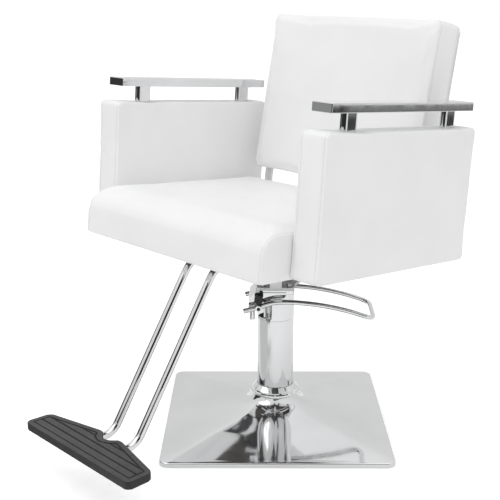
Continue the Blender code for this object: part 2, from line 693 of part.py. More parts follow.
def back():
    outline = rounded_box_outline((-BACK_HALF, 0), (BACK_HALF, BACK_HEIGHT), BACK_CORNER, 5)
    foam = plate("back_cushion", outline, -BACK_FOAM, 0, VINYL, back_frame, ALONG_Y)
    bevel(foam, 0.010, 2)
    rear = plate("back_panel", outline, -BACK_FOAM - GAP - BACK_PANEL, -BACK_FOAM - GAP, VINYL, back_frame,
                 ALONG_Y)
    bevel(rear, 0.002, 1)
    profile = strip(rounded(BRACKET_PATH, [0.010, 0.030, 0], steps=4), BRACKET_THICK)
    for side, name in ((1, "left"), (-1, "right")):
        low, high = sorted((side * BRACKET_IN, side * BRACKET_OUT))
        plate(f"back_bracket_{name}", profile, low, high, WHITE_STEEL, swivel_axis, ALONG_X)
        sleeve = strip(rounded(BRACKET_PATH[1:3] + [(0.2275, 0.6750)], 0.030, steps=4), BRACKET_THICK + 0.001)
        slot = plate(f"bracket_slot_{name}", sleeve, low - 0.0006, high + 0.0006, None, swivel_axis, ALONG_X)
        cut(foam, slot)


# ---------------------------------------------------------------- footrest

def footrest(board, front_rail):
    grooves = []
    for side, name in ((1, "left"), (-1, "right")):
        path = rounded([(side * TUBE_X, y, z) for y, z in TUBE_PATH], TUBE_BENDS, steps=6)
        tube(f"footrest_tube_{name}", path, TUBE_RADIUS, CHROME, swivel_axis)
        grooves.append(cylinder(f"saddle_groove_{name}", 0.0082, -0.2, 0, parent=seat_zero,
                                at=(side * TUBE_X, SADDLE_TOP), along="Y", sides=24))
    half_x, half_y = SADDLE_HALF
    saddle = box("footrest_saddle", (-half_x, -RAIL_Y - half_y, SADDLE_LOW),
                 (half_x, -RAIL_Y + half_y, SADDLE_TOP), BLACK_STEEL, seat_zero)
    cut(saddle, *grooves)
    hole = cylinder("saddle_hole", 0.0042, 0.36, 0.4095, parent=seat_zero, at=(0, -RAIL_Y), sides=12)
    for piece in (saddle, front_rail, board):
        cut(piece, hole)
    cap_screw("saddle_bolt", seat_zero, (0, -RAIL_Y, SADDLE_LOW - GAP), rotation=(math.pi, 0, 0),
              head=(0.0065, 0.006), shank=(0.0033, 0.0385))

    right = rounded(PAD_OUTLINE, [0.008, 0.010, 0.004], steps=3)
    notch = [(0.0120, PAD_NOTCH_Y + 0.004), (0.0, PAD_NOTCH_Y)]
    half = right[1:] + notch
    outline = half + [(-x, y) for x, y in half[-2::-1]]
    pad = plate("footrest_pad", outline, PAD_LOW, PAD_TOP, TREAD, swivel_axis)
    bevel(pad, 0.0016, 1)
    half_x, front, rear, low, top = CROSSBAR
    recess = box("crossbar_recess", (-half_x - GAP, front - GAP, 0.07),
                 (half_x + GAP, rear + 0.001, top + GAP), parent=swivel_axis)
    cut(pad, recess)
    for side in (-1, 1):
        cut(pad, cylinder("tube_groove", 0.0082, rear, -0.40, parent=swivel_axis,
                          at=(side * TUBE_X, PAD_LOW - 0.0003), along="Y", sides=24))
    box("footrest_crossbar", (-half_x, front, low), (half_x, rear, top), CHROME, swivel_axis)


foot()
pump()
head_pieces()
lever()
spider()
seat_board, seat_rails = seat()
arms(seat_rails)
back()
footrest(seat_board, seat_rails[0])
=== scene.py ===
import json
import math

import bmesh
import bpy
import numpy as np
from mathutils import Matrix, Vector
from mathutils.bvhtree import BVHTree
from mathutils.kdtree import KDTree

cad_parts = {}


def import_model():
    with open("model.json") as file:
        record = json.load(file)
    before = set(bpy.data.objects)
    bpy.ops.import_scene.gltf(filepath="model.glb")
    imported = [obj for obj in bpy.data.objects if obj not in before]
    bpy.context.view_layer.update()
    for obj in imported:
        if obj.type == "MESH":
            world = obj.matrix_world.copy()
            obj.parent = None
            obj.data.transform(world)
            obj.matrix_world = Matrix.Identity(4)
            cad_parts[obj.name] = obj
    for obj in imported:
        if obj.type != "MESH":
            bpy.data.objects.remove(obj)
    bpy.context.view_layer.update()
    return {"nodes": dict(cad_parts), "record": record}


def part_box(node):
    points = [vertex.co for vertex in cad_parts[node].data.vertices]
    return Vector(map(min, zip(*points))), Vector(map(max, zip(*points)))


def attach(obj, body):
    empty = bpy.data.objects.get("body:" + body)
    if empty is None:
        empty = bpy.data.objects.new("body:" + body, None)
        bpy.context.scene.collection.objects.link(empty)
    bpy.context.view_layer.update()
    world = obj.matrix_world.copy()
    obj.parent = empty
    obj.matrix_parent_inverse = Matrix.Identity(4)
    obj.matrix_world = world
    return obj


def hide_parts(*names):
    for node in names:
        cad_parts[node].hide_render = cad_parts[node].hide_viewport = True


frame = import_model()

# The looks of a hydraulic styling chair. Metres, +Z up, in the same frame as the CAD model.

# ---------------------------------------------------------------- sizes and places

# How the assemblies stand, as in the CAD model
SEAT_TILT = math.radians(4.56)
SEAT_PIVOT_Z = 0.36
BACK_LEAN = math.radians(11.7)
BACK_FOOT = (0.151, 0.505)
BASE_TURN = math.radians(46.5)
LEVER_TURN = math.radians(45)

SEAT_FRAME = (
    Matrix.Translation((0, 0, SEAT_PIVOT_Z)) @ Matrix.Rotation(-SEAT_TILT, 4, "X")
    @ Matrix.Translation((0, 0, -SEAT_PIVOT_Z))
)
BACK_FRAME = Matrix.Translation((0, *BACK_FOOT)) @ Matrix.Rotation(-BACK_LEAN, 4, "X")
BASE_FRAME = Matrix.Rotation(BASE_TURN, 4, "Z")
LEVER_FRAME = Matrix.Rotation(LEVER_TURN, 4, "Z")
UPRIGHT = Matrix()

ALONG_X = Matrix(((0, 0, 1, 0), (1, 0, 0, 0), (0, 1, 0, 0), (0, 0, 0, 1)))  # drawn in YZ, thick in X
ALONG_Y = Matrix(((1, 0, 0, 0), (0, 0, -1, 0), (0, 1, 0, 0), (0, 0, 0, 1)))  # drawn in XZ, thick in -Y

# Upholstery, in the seat's and the back's own frames
SEAT_HALF, SEAT_FRONT, SEAT_REAR = 0.2544, -0.2945, 0.1720
SEAT_LOW, SEAT_TOP = 0.3993, 0.4810
PANEL_IN, PANEL_OUT = 0.2571, 0.3180
PANEL_FRONT, PANEL_REAR, PANEL_LOW, PANEL_TOP = -0.2259, 0.1969, 0.3993, 0.6623
BACK_HALF, BACK_HEIGHT, BACK_FOAM, BACK_BOARD, BOARD_GAP = 0.2245, 0.3425, 0.0655, 0.0060, 0.0003
HEM_HALF, HEM_FRONT, HEM_REAR, HEM_TUCK, HEM_DROP = 0.215, -0.240, 0.136, 0.007, 0.0008
POST_DIP, POST_DIP_REACH = 0.0035, 0.030

# How the covers are made
VOXEL = 0.0058
FULLER = 0.0022  # a cover starts this much larger all round, because smoothing takes it off again
GLUED, BACK_GLUED = 0.012, 0.010  # the cloth holds still this far from a cushion's base
ROOM, CROWN = 0.003, 0.012  # how far a filled cover may pass its box, and how far up the seat's may
SEAT_SAG, SEAT_SIDE_ROOM = 0.005, 0.0005  # the same for the seat's front and bottom, and for its sides
PANEL_NEAR_ROOM = 0.0016  # the same for an arm panel's side that is next to the seat
REAR_SEAM_SCALE, REAR_SEAM_RISE = 0.95, 0.008
CLOTH_FRAMES = 20
FOAM_GIVES = 0.15  # the share of the pull inward and sideways that the foam lets through
SEAM_WIDTH, SEAM_DEPTH, SEAM_STEP, THREAD = 0.0030, 0.0012, 0.0015, 0.0007

# Arms
BAR_IN, BAR_OUT, BAR_FRONT, BAR_REAR, BAR_LOW, BAR_TOP = 0.2645, 0.3107, -0.2106, 0.1950, 0.6901, 0.7070
POST_Y = {"front": -0.1410, "rear": 0.1450}
POST_LONG, POST_SHORT, POST_SUNK = 0.036, 0.016, 0.012
HAIR = 0.0002  # keeps a post just clear of its bar, and a sliver of flat on its ends

# Foot and pump
BASE_HALF, BASE_CORNER, PAN_WALL = 0.232, 0.018, 0.0016
PAN_SQUARE, PAN_ROUND = 0.135, 0.050  # half sides at which the pan starts to turn round, and is round
PAN_STRAIGHT_STEPS, PAN_CORNER_STEPS = 28, 14
PAN_RIM = [(0.2320, 0.0010), (0.2320, 0.0072), (0.2312, 0.0092), (0.2295, 0.0102)]  # half side and height
PAN_SLOPE = [
    (0.2240, 0.0108), (0.2000, 0.0145), (0.1700, 0.0192), (0.1400, 0.0240), (0.1120, 0.0288),
    (0.0880, 0.0340), (0.0700, 0.0398), (0.0575, 0.0470), (0.0490, 0.0560), (0.0440, 0.0640),
    (0.0418, 0.0700),
]
TRIM_RING = [  # radius and height
    (0.0400, 0.0840), (0.0482, 0.0748), (0.0490, 0.0722), (0.0514, 0.0702), (0.0518, 0.0680),
    (0.0508, 0.0652), (0.0490, 0.0640), (0.0450, 0.0640), (0.0450, 0.0712), (0.0385, 0.0712),
    (0.0385, 0.0840),
]
JACKET_RADIUS, JACKET_BORE, RAM_RADIUS, RAM_BORE = 0.0380, 0.0360, 0.0230, 0.0236

# Pump head and lever, in the lever's own frame: s along it, t across it
HEAD_RADIUS, HEAD_LOW, CASTING_TOP, HEAD_TOP = 0.0388, 0.2330, 0.2940, 0.3000
CHEEK_HALF, FLANGE_HALF, FLANGE_LOW, RAM_BORE_TOP = 0.0405, 0.0385, 0.2920, 0.2896
HOUSING = [  # s and z
    (-0.0560, 0.2620), (-0.0560, 0.2830), (-0.0420, 0.2960), (0.0235, 0.2960), (0.0180, 0.2850),
    (0.0060, 0.2790), (-0.0120, 0.2745), (-0.0270, 0.2720), (-0.0300, 0.2620),
]
HOUSING_BENDS = [0.0010, 0.0040, 0.0040, 0.0020, 0.0080, 0.0150, 0.0150, 0.0030, 0.0010]
WINDOWS = [  # lowest and highest corner, in s, t and z
    ((-0.0370, -0.0500, 0.2370), (-0.0080, -0.0110, 0.2565)),
    ((-0.0295, -0.0500, 0.2500), (-0.0080, -0.0110, 0.2760)),
]
PLUNGER_S, PLUNGER_T, PLUNGER_HOLE = -0.0225, -0.0275, 0.0031
VALVE_S, VALVE_T, VALVE_RADIUS, VALVE_LOW, VALVE_TOP = -0.0495, -0.004, 0.0058, 0.2262, 0.2617
PIVOT_S, PIVOT_Z, ROLLER_Z = -0.035, 0.269, 0.2865
BOSS_RADIUS, BOSS_END, STUB_RADIUS, STUB_END = 0.0085, 0.0503, 0.0035, 0.0612
BOLT_HOLE, BOLT_HOLE_START, BOLT_HOLE_END = 0.0034, 0.034, 0.060
ROLLER = [  # radius and distance from the middle
    (0.0090, 0.0630), (0.0090, 0.0506), (0.0038, 0.0506), (0.0038, 0.0616), (0.0004, 0.0616),
    (0.0004, 0.0630),
]
SCREW = [  # radius and distance out from the face that its head lies on
    (0.0068, 0.0050), (0.0068, 0.0), (0.0030, 0.0), (0.0030, -0.0245), (0.0004, -0.0245), (0.0004, 0.0015),
    (0.0036, 0.0015), (0.0036, 0.0050),
]
PLUG_RADIUS, PLUG_LOW, PLUG_TOP = 0.0035, 0.0016, 0.0042
SCREW_FACE = 0.0615  # from the middle to the face that the screw's head lies on
LEVER_ROD, LEVER_HALF, LEVER_TIP, LEVER_BEND = 0.0052, 0.056, 0.2010, 0.020
LEVER_TAIL = [(-0.0655, 0.2612), (-0.0500, 0.2655), (-0.0350, 0.2690), (-0.0200, 0.2755), (-0.0050, 0.2798)]
LEVER_STATIONS = (0.010, 0.035, 0.060, 0.085, 0.110, 0.135, 0.158)

# Footrest
TUBE_X, TUBE_RADIUS = 0.036, 0.0077
TUBE_PATH = [(-0.075, 0.3910), (-0.1921, 0.4003), (-0.3993, 0.0840), (-0.4518, 0.0840)]
TUBE_BENDS = [0.072, 0.038]
PAD_LOW, PAD_TOP, PAD_FRONT, PAD_NOTCH_Y = 0.0845, 0.1000, -0.512, -0.4460
PAD_NECK = (0.0120, PAD_NOTCH_Y + 0.004)
PAD_HALF = [(0.1635, PAD_FRONT), (0.1610, -0.4580), (0.0340, -0.4290), (0.0240, -0.4300)]
PAD_BORDER, PAD_LINE_STEP, PAD_LINES, GROOVE = 0.0115, 0.0172, 3, 0.0019


# ---------------------------------------------------------------- objects and meshes

def in_scene(name, data):
    """A new object with this data, linked to the scene."""
    obj = bpy.data.objects.new(name, data)
    bpy.context.scene.collection.objects.link(obj)
    return obj


def mesh_from(name, bm):
    """A new mesh from the bmesh, which is used up."""
    mesh = bpy.data.meshes.new(name)
    bm.to_mesh(mesh)
    bm.free()
    return mesh


# ---------------------------------------------------------------- camera, floor and light

BAR_FLAG_ROLL = 4.5  # degrees, to follow the near armrest bar's slope


def camera():
    data = bpy.data.cameras.new("camera")
    data.lens = 70.17
    data.sensor_width = 36
    obj = in_scene("camera", data)
    obj.location = (1.3783, -1.3739, 0.9185)
    obj.rotation_euler = (math.radians(74.431), 0, math.radians(46.69))
    bpy.context.scene.camera = obj


def area_light(name, place, target, size, power):
    data = bpy.data.lights.new(name, "AREA")
    data.shape = "RECTANGLE"
    data.size, data.size_y = size
    data.energy = power
    obj = in_scene(name, data)
    obj.location = place
    obj.rotation_euler = (Vector(target) - Vector(place)).to_track_quat("-Z", "Y").to_euler()
    obj.visible_camera = False


def world():
    """A pale sky: a little darker round the horizon than overhead, and plain white to the camera."""
    made = bpy.data.worlds.new("studio")
    bpy.context.scene.world = made
    made.use_nodes = True
    tree = made.node_tree
    sky = tree.nodes["Background"]
    upward = tree.nodes.new("ShaderNodeSeparateXYZ")
    direction = tree.nodes.new("ShaderNodeTexCoord")
    tree.links.new(direction.outputs["Generated"], upward.inputs["Vector"])
    tones = tree.nodes.new("ShaderNodeValToRGB")
    horizon, zenith = tones.color_ramp.elements
    horizon.position, horizon.color = 0.30, (0.74, 0.74, 0.74, 1)
    zenith.position, zenith.color = 0.95, (0.92, 0.92, 0.925, 1)
    tree.links.new(upward.outputs["Z"], tones.inputs["Fac"])
    tree.links.new(tones.outputs["Color"], sky.inputs["Color"])
    plain = tree.nodes.new("ShaderNodeBackground")
    plain.inputs["Color"].default_value = (1.0, 1.0, 1.0, 1)
    seen = tree.nodes.new("ShaderNodeLightPath")
    either = tree.nodes.new("ShaderNodeMixShader")
    tree.links.new(seen.outputs["Is Camera Ray"], either.inputs["Fac"])
    tree.links.new(sky.outputs["Background"], either.inputs[1])
    tree.links.new(plain.outputs["Background"], either.inputs[2])
    tree.links.new(either.outputs["Shader"], tree.nodes["World Output"].inputs["Surface"])


def reflected_only(name, bm, tone):
    """A studio surface of one grey tone that shows only as a reflection."""
    material = bpy.data.materials.new(name)
    material.use_nodes = True
    tree = material.node_tree
    tree.nodes.remove(tree.nodes["Principled BSDF"])
    glow = tree.nodes.new("ShaderNodeEmission")
    glow.inputs["Color"].default_value = (tone, tone, tone, 1)
    tree.links.new(glow.outputs["Emission"], tree.nodes["Material Output"].inputs["Surface"])
    obj = in_scene(name, mesh_from(name, bm))
    obj.data.materials.append(material)
    obj.visible_camera = obj.visible_diffuse = obj.visible_shadow = False
    return obj


def flag(name, place, target, size, tone, roll=0.0):
    """A flat flag that faces the target, turned by roll degrees about the line to it."""
    bm = bmesh.new()
    bmesh.ops.create_grid(bm, x_segments=1, y_segments=1, size=0.5)
    bmesh.ops.scale(bm, vec=(*size, 1), verts=bm.verts)
    obj = reflected_only(name, bm, tone)
    obj.location = place
    facing = (Vector(target) - Vector(place)).to_track_quat("Z", "Y").to_matrix()
    obj.rotation_euler = (facing @ Matrix.Rotation(math.radians(roll), 3, "Z")).to_euler()


def screen(name, radius, first, last, low, high, tone):
    """An upright curved flag round the chair, between two angles in degrees."""
    steps = 24
    bm = bmesh.new()
    rows = []
    for k in range(steps + 1):
        angle = math.radians(first + (last - first) * k / steps)
        x, y = radius * math.cos(angle), radius * math.sin(angle)
        rows.append([bm.verts.new((x, y, z)) for z in (low, high)])
    for a, b in zip(rows, rows[1:]):
        bm.faces.new((a[0], b[0], b[1], a[1]))
    reflected_only(name, bm, tone)


def studio():
    world()
    bpy.context.scene.view_settings.view_transform = "Standard"
    area_light("key", (-0.6, -1.6, 3.2), (0, 0, 0.3), (2.6, 2.6), 22)
    area_light("fill", (0.9, 0.1, 3.2), (0, 0, 0.4), (1.6, 1.6), 7)
    flag("flag_tubes", (1.36, -0.87, 0.86), (0, -0.30, 0.24), (1.5, 0.7), 0.02, 28)
    flag("flag_left", (-1.75, -1.15, 0.45), (0, 0, 0.45), (1.6, 1.1), 0.04)
    flag("flag_front", (-1.17, -2.03, 0.45), (0.58, -0.88, 0.45), (0.5, 1.1), 0.30)
    flag("flag_floor_left", (-0.55, -0.62, 0.002), (-0.55, -0.62, 1.0), (1.0, 0.9), 0.62)
    for name, y, z, size, tone in (
        ("flag_bar_front", 1.45, 0.414, (0.50, 0.065), 0.04), ("flag_bar", 2.30, 0.347, (1.20, 0.065), 0.22),
        ("flag_posts", 2.10, 0.290, (1.80, 0.080), 0.05),
    ):
        flag(name, (1.91, y, z), (0.91, y, z), size, tone, BAR_FLAG_ROLL)
    screen("screen_posts", 1.9, 205, 246, 0.43, 0.515, 0.04)
    screen("screen_front", 1.9, 246, 325, 0.44, 0.90, 0.03)


def floor():
    bm = bmesh.new()
    bmesh.ops.create_grid(bm, x_segments=2, y_segments=2, size=12)
    obj = in_scene("floor", mesh_from("floor", bm))
    obj.data.materials.append(plain_floor())


# ---------------------------------------------------------------- materials

def new_material(name, metallic=0.0):
    """A new material, its node tree, its shader and the object's own coordinates."""
    material = bpy.data.materials.new(name)
    material.use_nodes = True
    tree = material.node_tree
    shader = tree.nodes["Principled BSDF"]
    shader.inputs["Metallic"].default_value = metallic
    coordinates = tree.nodes.new("ShaderNodeTexCoord").outputs["Object"]
    return material, tree, shader, coordinates


def noise(tree, coordinates, scale, detail, stretch=None):
    if stretch:
        mapping = tree.nodes.new("ShaderNodeMapping")
        mapping.inputs["Scale"].default_value = stretch
        tree.links.new(coordinates, mapping.inputs["Vector"])
        coordinates = mapping.outputs["Vector"]
    node = tree.nodes.new("ShaderNodeTexNoise")
    node.inputs["Scale"].default_value = scale
    node.inputs["Detail"].default_value = detail
    tree.links.new(coordinates, node.inputs["Vector"])
    return node.outputs["Fac"]


def ramp(tree, value, dark, light, low=0.35, high=0.65):
    """A colour from dark to light as the value goes from low to high."""
    node = tree.nodes.new("ShaderNodeValToRGB")
    first, second = node.color_ramp.elements
    first.position, second.position = low, high
    first.color, second.color = (*dark, 1), (*light, 1)
    tree.links.new(value, node.inputs["Fac"])
    return node.outputs["Color"]


def spread(tree, value, low, high):
    """The middle of a noise's range spread from low to high."""
    node = tree.nodes.new("ShaderNodeMapRange")
    node.inputs["From Min"].default_value = 0.3
    node.inputs["From Max"].default_value = 0.7
    node.inputs["To Min"].default_value = low
    node.inputs["To Max"].default_value = high
    tree.links.new(value, node.inputs["Value"])
    return node.outputs["Result"]


def bump(tree, shader, height, strength, distance, under=None):
    """Raises the surface by the height, on top of an earlier bump where under is given."""
    node = tree.nodes.new("ShaderNodeBump")
    node.inputs["Strength"].default_value = strength
    node.inputs["Distance"].default_value = distance
    tree.links.new(height, node.inputs["Height"])
    if under:
        tree.links.new(under, node.inputs["Normal"])
    tree.links.new(node.outputs["Normal"], shader.inputs["Normal"])
    return node.outputs["Normal"]


def finish_of(name, dark, light, rough, metallic, mottle, grain, grain_depth, stretch=None):
    """A surface with mottled colour, uneven roughness and a fine grain. mottle and grain are scales."""
    material, tree, shader, at = new_material(name, metallic)
    tree.links.new(ramp(tree, noise(tree, at, mottle, 4, stretch), dark, light), shader.inputs["Base Color"])
    tree.links.new(spread(tree, noise(tree, at, grain / 4, 3, stretch), *rough), shader.inputs["Roughness"])
    bump(tree, shader, noise(tree, at, grain, 2, stretch), 0.35, grain_depth)
    return material


def vinyl():
    """Smooth coated upholstery fabric: a shallow pebble grain, faint clouding, and painted shade that darkens
    its creases and seams.
    """
    material, tree, shader, at = new_material("white_vinyl")
    clouds = ramp(tree, noise(tree, at, 7, 3), (0.855, 0.855, 0.855), (0.885, 0.885, 0.885))
    pointed = tree.nodes.new("ShaderNodeNewGeometry").outputs["Pointiness"]
    # painted shade: concave creases and the pressed seams are darkened by pointiness
    painted_crease_shade = ramp(tree, pointed, (0.84, 0.84, 0.84), (1.0, 1.0, 1.0), 0.440, 0.492)
    mixed = tree.nodes.new("ShaderNodeMix")
    mixed.data_type = "RGBA"
    mixed.blend_type = "MULTIPLY"
    mixed.inputs["Factor"].default_value = 1.0
    tree.links.new(clouds, mixed.inputs["A"])
    tree.links.new(painted_crease_shade, mixed.inputs["B"])
    tree.links.new(mixed.outputs["Result"], shader.inputs["Base Color"])
    tree.links.new(spread(tree, noise(tree, at, 45, 3), 0.36, 0.48), shader.inputs["Roughness"])
    pebbles = tree.nodes.new("ShaderNodeTexVoronoi")
    pebbles.feature = "SMOOTH_F1"
    pebbles.inputs["Scale"].default_value = 620
    tree.links.new(at, pebbles.inputs["Vector"])
    fine = bump(tree, shader, pebbles.outputs["Distance"], 0.22, 0.00025)
    bump(tree, shader, noise(tree, at, 55, 2), 0.10, 0.0006, fine)
    return material


def plywood():
    """Black-stained board with its grain along X."""
    material, tree, shader, at = new_material("plywood")
    grain = noise(tree, at, 9, 6, (1, 14, 14))
    stain = ramp(tree, grain, (0.050, 0.046, 0.042), (0.095, 0.089, 0.082))
    tree.links.new(stain, shader.inputs["Base Color"])
    tree.links.new(spread(tree, grain, 0.60, 0.78), shader.inputs["Roughness"])
    bump(tree, shader, grain, 0.3, 0.0004)
    return material


def tread():
    """Moulded rubber: mottled grey on top, with painted shade making it near black down the sides and in the
    grooves.
    """
    material, tree, shader, at = new_material("tread")
    height = tree.nodes.new("ShaderNodeSeparateXYZ")
    tree.links.new(at, height.inputs["Vector"])
    # painted shade: a mask that is 1 on the top face and 0 below it, down the sides and in the grooves
    top = tree.nodes.new("ShaderNodeMapRange")
    top.inputs["From Min"].default_value = PAD_TOP - 0.0007
    top.inputs["From Max"].default_value = PAD_TOP - 0.0002
    tree.links.new(height.outputs["Z"], top.inputs["Value"])
    top_grey = ramp(tree, noise(tree, at, 16, 4), (0.042, 0.042, 0.044), (0.058, 0.058, 0.060))
    mixed = tree.nodes.new("ShaderNodeMix")
    mixed.data_type = "RGBA"
    # painted shade: near black below the top face
    mixed.inputs["A"].default_value = (0.009, 0.009, 0.010, 1)
    tree.links.new(top.outputs["Result"], mixed.inputs["Factor"])
    tree.links.new(top_grey, mixed.inputs["B"])
    tree.links.new(mixed.outputs["Result"], shader.inputs["Base Color"])
    tree.links.new(spread(tree, noise(tree, at, 175, 3), 0.46, 0.60), shader.inputs["Roughness"])
    bump(tree, shader, noise(tree, at, 700, 2), 0.35, 0.00016)
    return material


def plain_floor():
    """A pale floor that is brighter to the camera than to what it lights."""
    material, tree, shader, at = new_material("floor_white")
    tree.links.new(ramp(tree, noise(tree, at, 1.5, 2), (0.93, 0.93, 0.93), (0.95, 0.95, 0.95)),
                   shader.inputs["Base Color"])
    shader.inputs["Roughness"].default_value = 0.8
    shader.inputs["Emission Color"].default_value = (1.0, 1.0, 1.0, 1)
    seen = tree.nodes.new("ShaderNodeMapRange")
    seen.inputs["To Min"].default_value, seen.inputs["To Max"].default_value = 0.05, 0.36
    tree.links.new(tree.nodes.new("ShaderNodeLightPath").outputs["Is Camera Ray"], seen.inputs["Value"])
    tree.links.new(seen.outputs["Result"], shader.inputs["Emission Strength"])
    return material


MATERIALS = {
    "chrome": finish_of("chrome", (0.76, 0.765, 0.77), (0.83, 0.835, 0.84), rough=(0.035, 0.085),
                        metallic=1.0, mottle=5, grain=160, grain_depth=0.00001),
    "steel": finish_of("steel", (0.36, 0.37, 0.38), (0.52, 0.53, 0.54), rough=(0.26, 0.40), metallic=1.0,
                       mottle=30, grain=500, grain_depth=0.00004, stretch=(1, 1, 9)),
    "black_steel": finish_of("black_steel", (0.022, 0.022, 0.024), (0.040, 0.040, 0.043), rough=(0.34, 0.50),
                             metallic=0.2, mottle=14, grain=420, grain_depth=0.00012),
    "white_steel": finish_of("white_steel", (0.80, 0.80, 0.80), (0.86, 0.86, 0.86), rough=(0.30, 0.44),
                             metallic=0.0, mottle=14, grain=420, grain_depth=0.00008),
    "iron": finish_of("iron", (0.10, 0.10, 0.105), (0.21, 0.21, 0.22), rough=(0.50, 0.68), metallic=0.7,
                      mottle=22, grain=260, grain_depth=0.00030),
    "rubber": finish_of("rubber", (0.016, 0.016, 0.016), (0.030, 0.030, 0.030), rough=(0.52, 0.70),
                        metallic=0.0, mottle=20, grain=500, grain_depth=0.00010),
    "tread": tread(),
    "white_vinyl": vinyl(),
    "plywood": plywood(),
    "thread": finish_of("thread", (0.74, 0.74, 0.74), (0.82, 0.82, 0.82), rough=(0.6, 0.8), metallic=0.0,
                        mottle=300, grain=900, grain_depth=0.00010),
}


# ---------------------------------------------------------------- pieces and mesh tools

def even_shading(obj):
    """Keeps large flat faces flat up to their rounded edges."""
    normals = obj.modifiers.new("normals", "WEIGHTED_NORMAL")
    normals.keep_sharp = True
    normals.weight = 100


def finish_piece(obj, slot, body, nodes):
    """Gives the piece its material, says which body it rides on and hides the CAD nodes it stands for."""
    if slot != "white_vinyl":
        even_shading(obj)
    obj.data.materials.clear()
    obj.data.materials.append(MATERIALS[slot])
    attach(obj, body)
    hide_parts(*nodes)


def object_from(name, bm, matrix=UPRIGHT, smooth=35):
    """An object from the bmesh, placed by matrix, with its edges sharp from an angle of smooth degrees."""
    bmesh.ops.recalc_face_normals(bm, faces=bm.faces)
    bm.transform(matrix)
    mesh = mesh_from(name, bm)
    mesh.shade_smooth()
    mesh.set_sharp_from_angle(angle=math.radians(smooth))
    return in_scene(name, mesh)


def applied(obj, smooth=None):
    """Applies every modifier, or turns a curve into the closed mesh that it draws."""
    graph = bpy.context.evaluated_depsgraph_get()
    graph.update()
    mesh = bpy.data.meshes.new_from_object(obj.evaluated_get(graph))
    matrix, name = obj.matrix_world.copy(), obj.name
    bm = bmesh.new()
    bm.from_mesh(mesh)
    bmesh.ops.remove_doubles(bm, verts=bm.verts, dist=0.000005)
    bm.to_mesh(mesh)
    bm.free()
    bpy.data.objects.remove(obj, do_unlink=True)
    made = in_scene(name, mesh)
    made.matrix_world = matrix
    mesh.shade_smooth()
    if smooth:
        mesh.set_sharp_from_angle(angle=math.radians(smooth))
    return made


def rounded(path, radii, steps=8, cyclic=False):
    """A polyline with an arc of the given radius at each inner corner."""
    points = [Vector(point) for point in path]
    count = len(points)
    corners = range(count) if cyclic else range(1, count - 1)
    result = [] if cyclic else [points[0]]
    for order, i in enumerate(corners):
        radius = radii[order] if isinstance(radii, (list, tuple)) else radii
        here = points[i]
        back = (points[i - 1] - here).normalized()
        on = (points[(i + 1) % count] - here).normalized()
        half = math.acos(max(-1.0, min(1.0, back.dot(on)))) / 2
        if radius <= 0 or half > math.radians(89.5):
            result.append(here)
            continue
        centre = here + (back + on).normalized() * (radius / math.sin(half))
        start = here + back * (radius / math.tan(half)) - centre
        end = here + on * (radius / math.tan(half)) - centre
        sweep = start.angle(end)
        for k in range(steps + 1):
            t = k / steps
            mixed = start * math.sin((1 - t) * sweep) + end * math.sin(t * sweep)
            result.append(centre + mixed / math.sin(sweep))
    if not cyclic:
        result.append(points[-1])
    return [tuple(point) for point in result]


def rectangle(low, high, radius, steps=8):
    (x0, y0), (x1, y1) = low, high
    return rounded([(x0, y0), (x1, y0), (x1, y1), (x0, y1)], radius, steps, cyclic=True)


def slab(outline, low, high, matrix=UPRIGHT, edge=0.0, segments=4):
    """A bmesh of a flat outline from low to high, its rims rounded by edge, then placed by matrix."""
    bm = bmesh.new()
    rings = [[bm.verts.new((x, y, z)) for x, y in outline] for z in (low, high)]
    for i in range(len(outline)):
        j = (i + 1) % len(outline)
        bm.faces.new((rings[0][i], rings[0][j], rings[1][j], rings[1][i]))
    caps = [bm.faces.new(rings[0][::-1]), bm.faces.new(rings[1])]
    if edge:
        rims = [e for cap in caps for e in cap.edges]
        bmesh.ops.bevel(bm, geom=rims, offset=edge, segments=segments, profile=0.5, affect="EDGES")
    bm.transform(matrix)
    return bm


def lathe(name, profile, matrix, steps):
    """A closed section of (radius, height) turned about Z. Its corners get a small round."""
    profile = rounded(profile, 0.00035, 2, cyclic=True)
    bm = bmesh.new()
    rings = []
    for k in range(steps):
        angle = 2 * math.pi * k / steps
        rings.append([bm.verts.new((r * math.cos(angle), r * math.sin(angle), z)) for r, z in profile])
    for k in range(steps):
        here, after = rings[k], rings[(k + 1) % steps]
        for i in range(len(profile)):
            j = (i + 1) % len(profile)
            bm.faces.new((here[i], here[j], after[j], after[i]))
    return object_from(name, bm, matrix, 30)


def pin(name, radius, low, high, matrix=UPRIGHT, chamfer=0.0006, sides=64):
    """A solid cylinder from low to high on Z with rounded rims."""
    outline = [(radius * math.cos(2 * math.pi * k / sides), radius * math.sin(2 * math.pi * k / sides))
               for k in range(sides)]
    return object_from(name, slab(outline, low, high, matrix, chamfer, 3))


def swept(name, path, radius, sides=7, cyclic=False):
    """A round rod along a 3D polyline."""
    curve = bpy.data.curves.new(name, "CURVE")
    curve.dimensions = "3D"
    curve.bevel_depth = radius
    curve.bevel_resolution = sides
    curve.use_fill_caps = True
    spline = curve.splines.new("POLY")
    spline.points.add(len(path) - 1)
    for point, at in zip(spline.points, path):
        point.co = (*at, 1)
    spline.use_cyclic_u = cyclic
    return applied(in_scene(name, curve), 50)


def smooth_path(points, per_span):
    """A Catmull-Rom curve through the points."""
    points = [Vector(p) for p in points]
    padded_points = [2 * points[0] - points[1], *points, 2 * points[-1] - points[-2]]
    result = []
    for a, b, c, d in zip(padded_points, padded_points[1:], padded_points[2:], padded_points[3:]):
        for k in range(per_span):
            t = k / per_span
            result.append(0.5 * (2 * b + (c - a) * t + (2 * a - 5 * b + 4 * c - d) * t * t
                                 + (3 * b - a - 3 * c + d) * t ** 3))
    return [tuple(p) for p in [*result, points[-1]]]


def combine(obj, others, operation):
    """Joins the others to the object or cuts them out of it, and removes them."""
    for other in others:
        modifier = obj.modifiers.new(operation, "BOOLEAN")
        modifier.operation = operation
        modifier.object = other
    obj = applied(obj, 30)
    for other in others:
        bpy.data.objects.remove(other, do_unlink=True)
    return obj


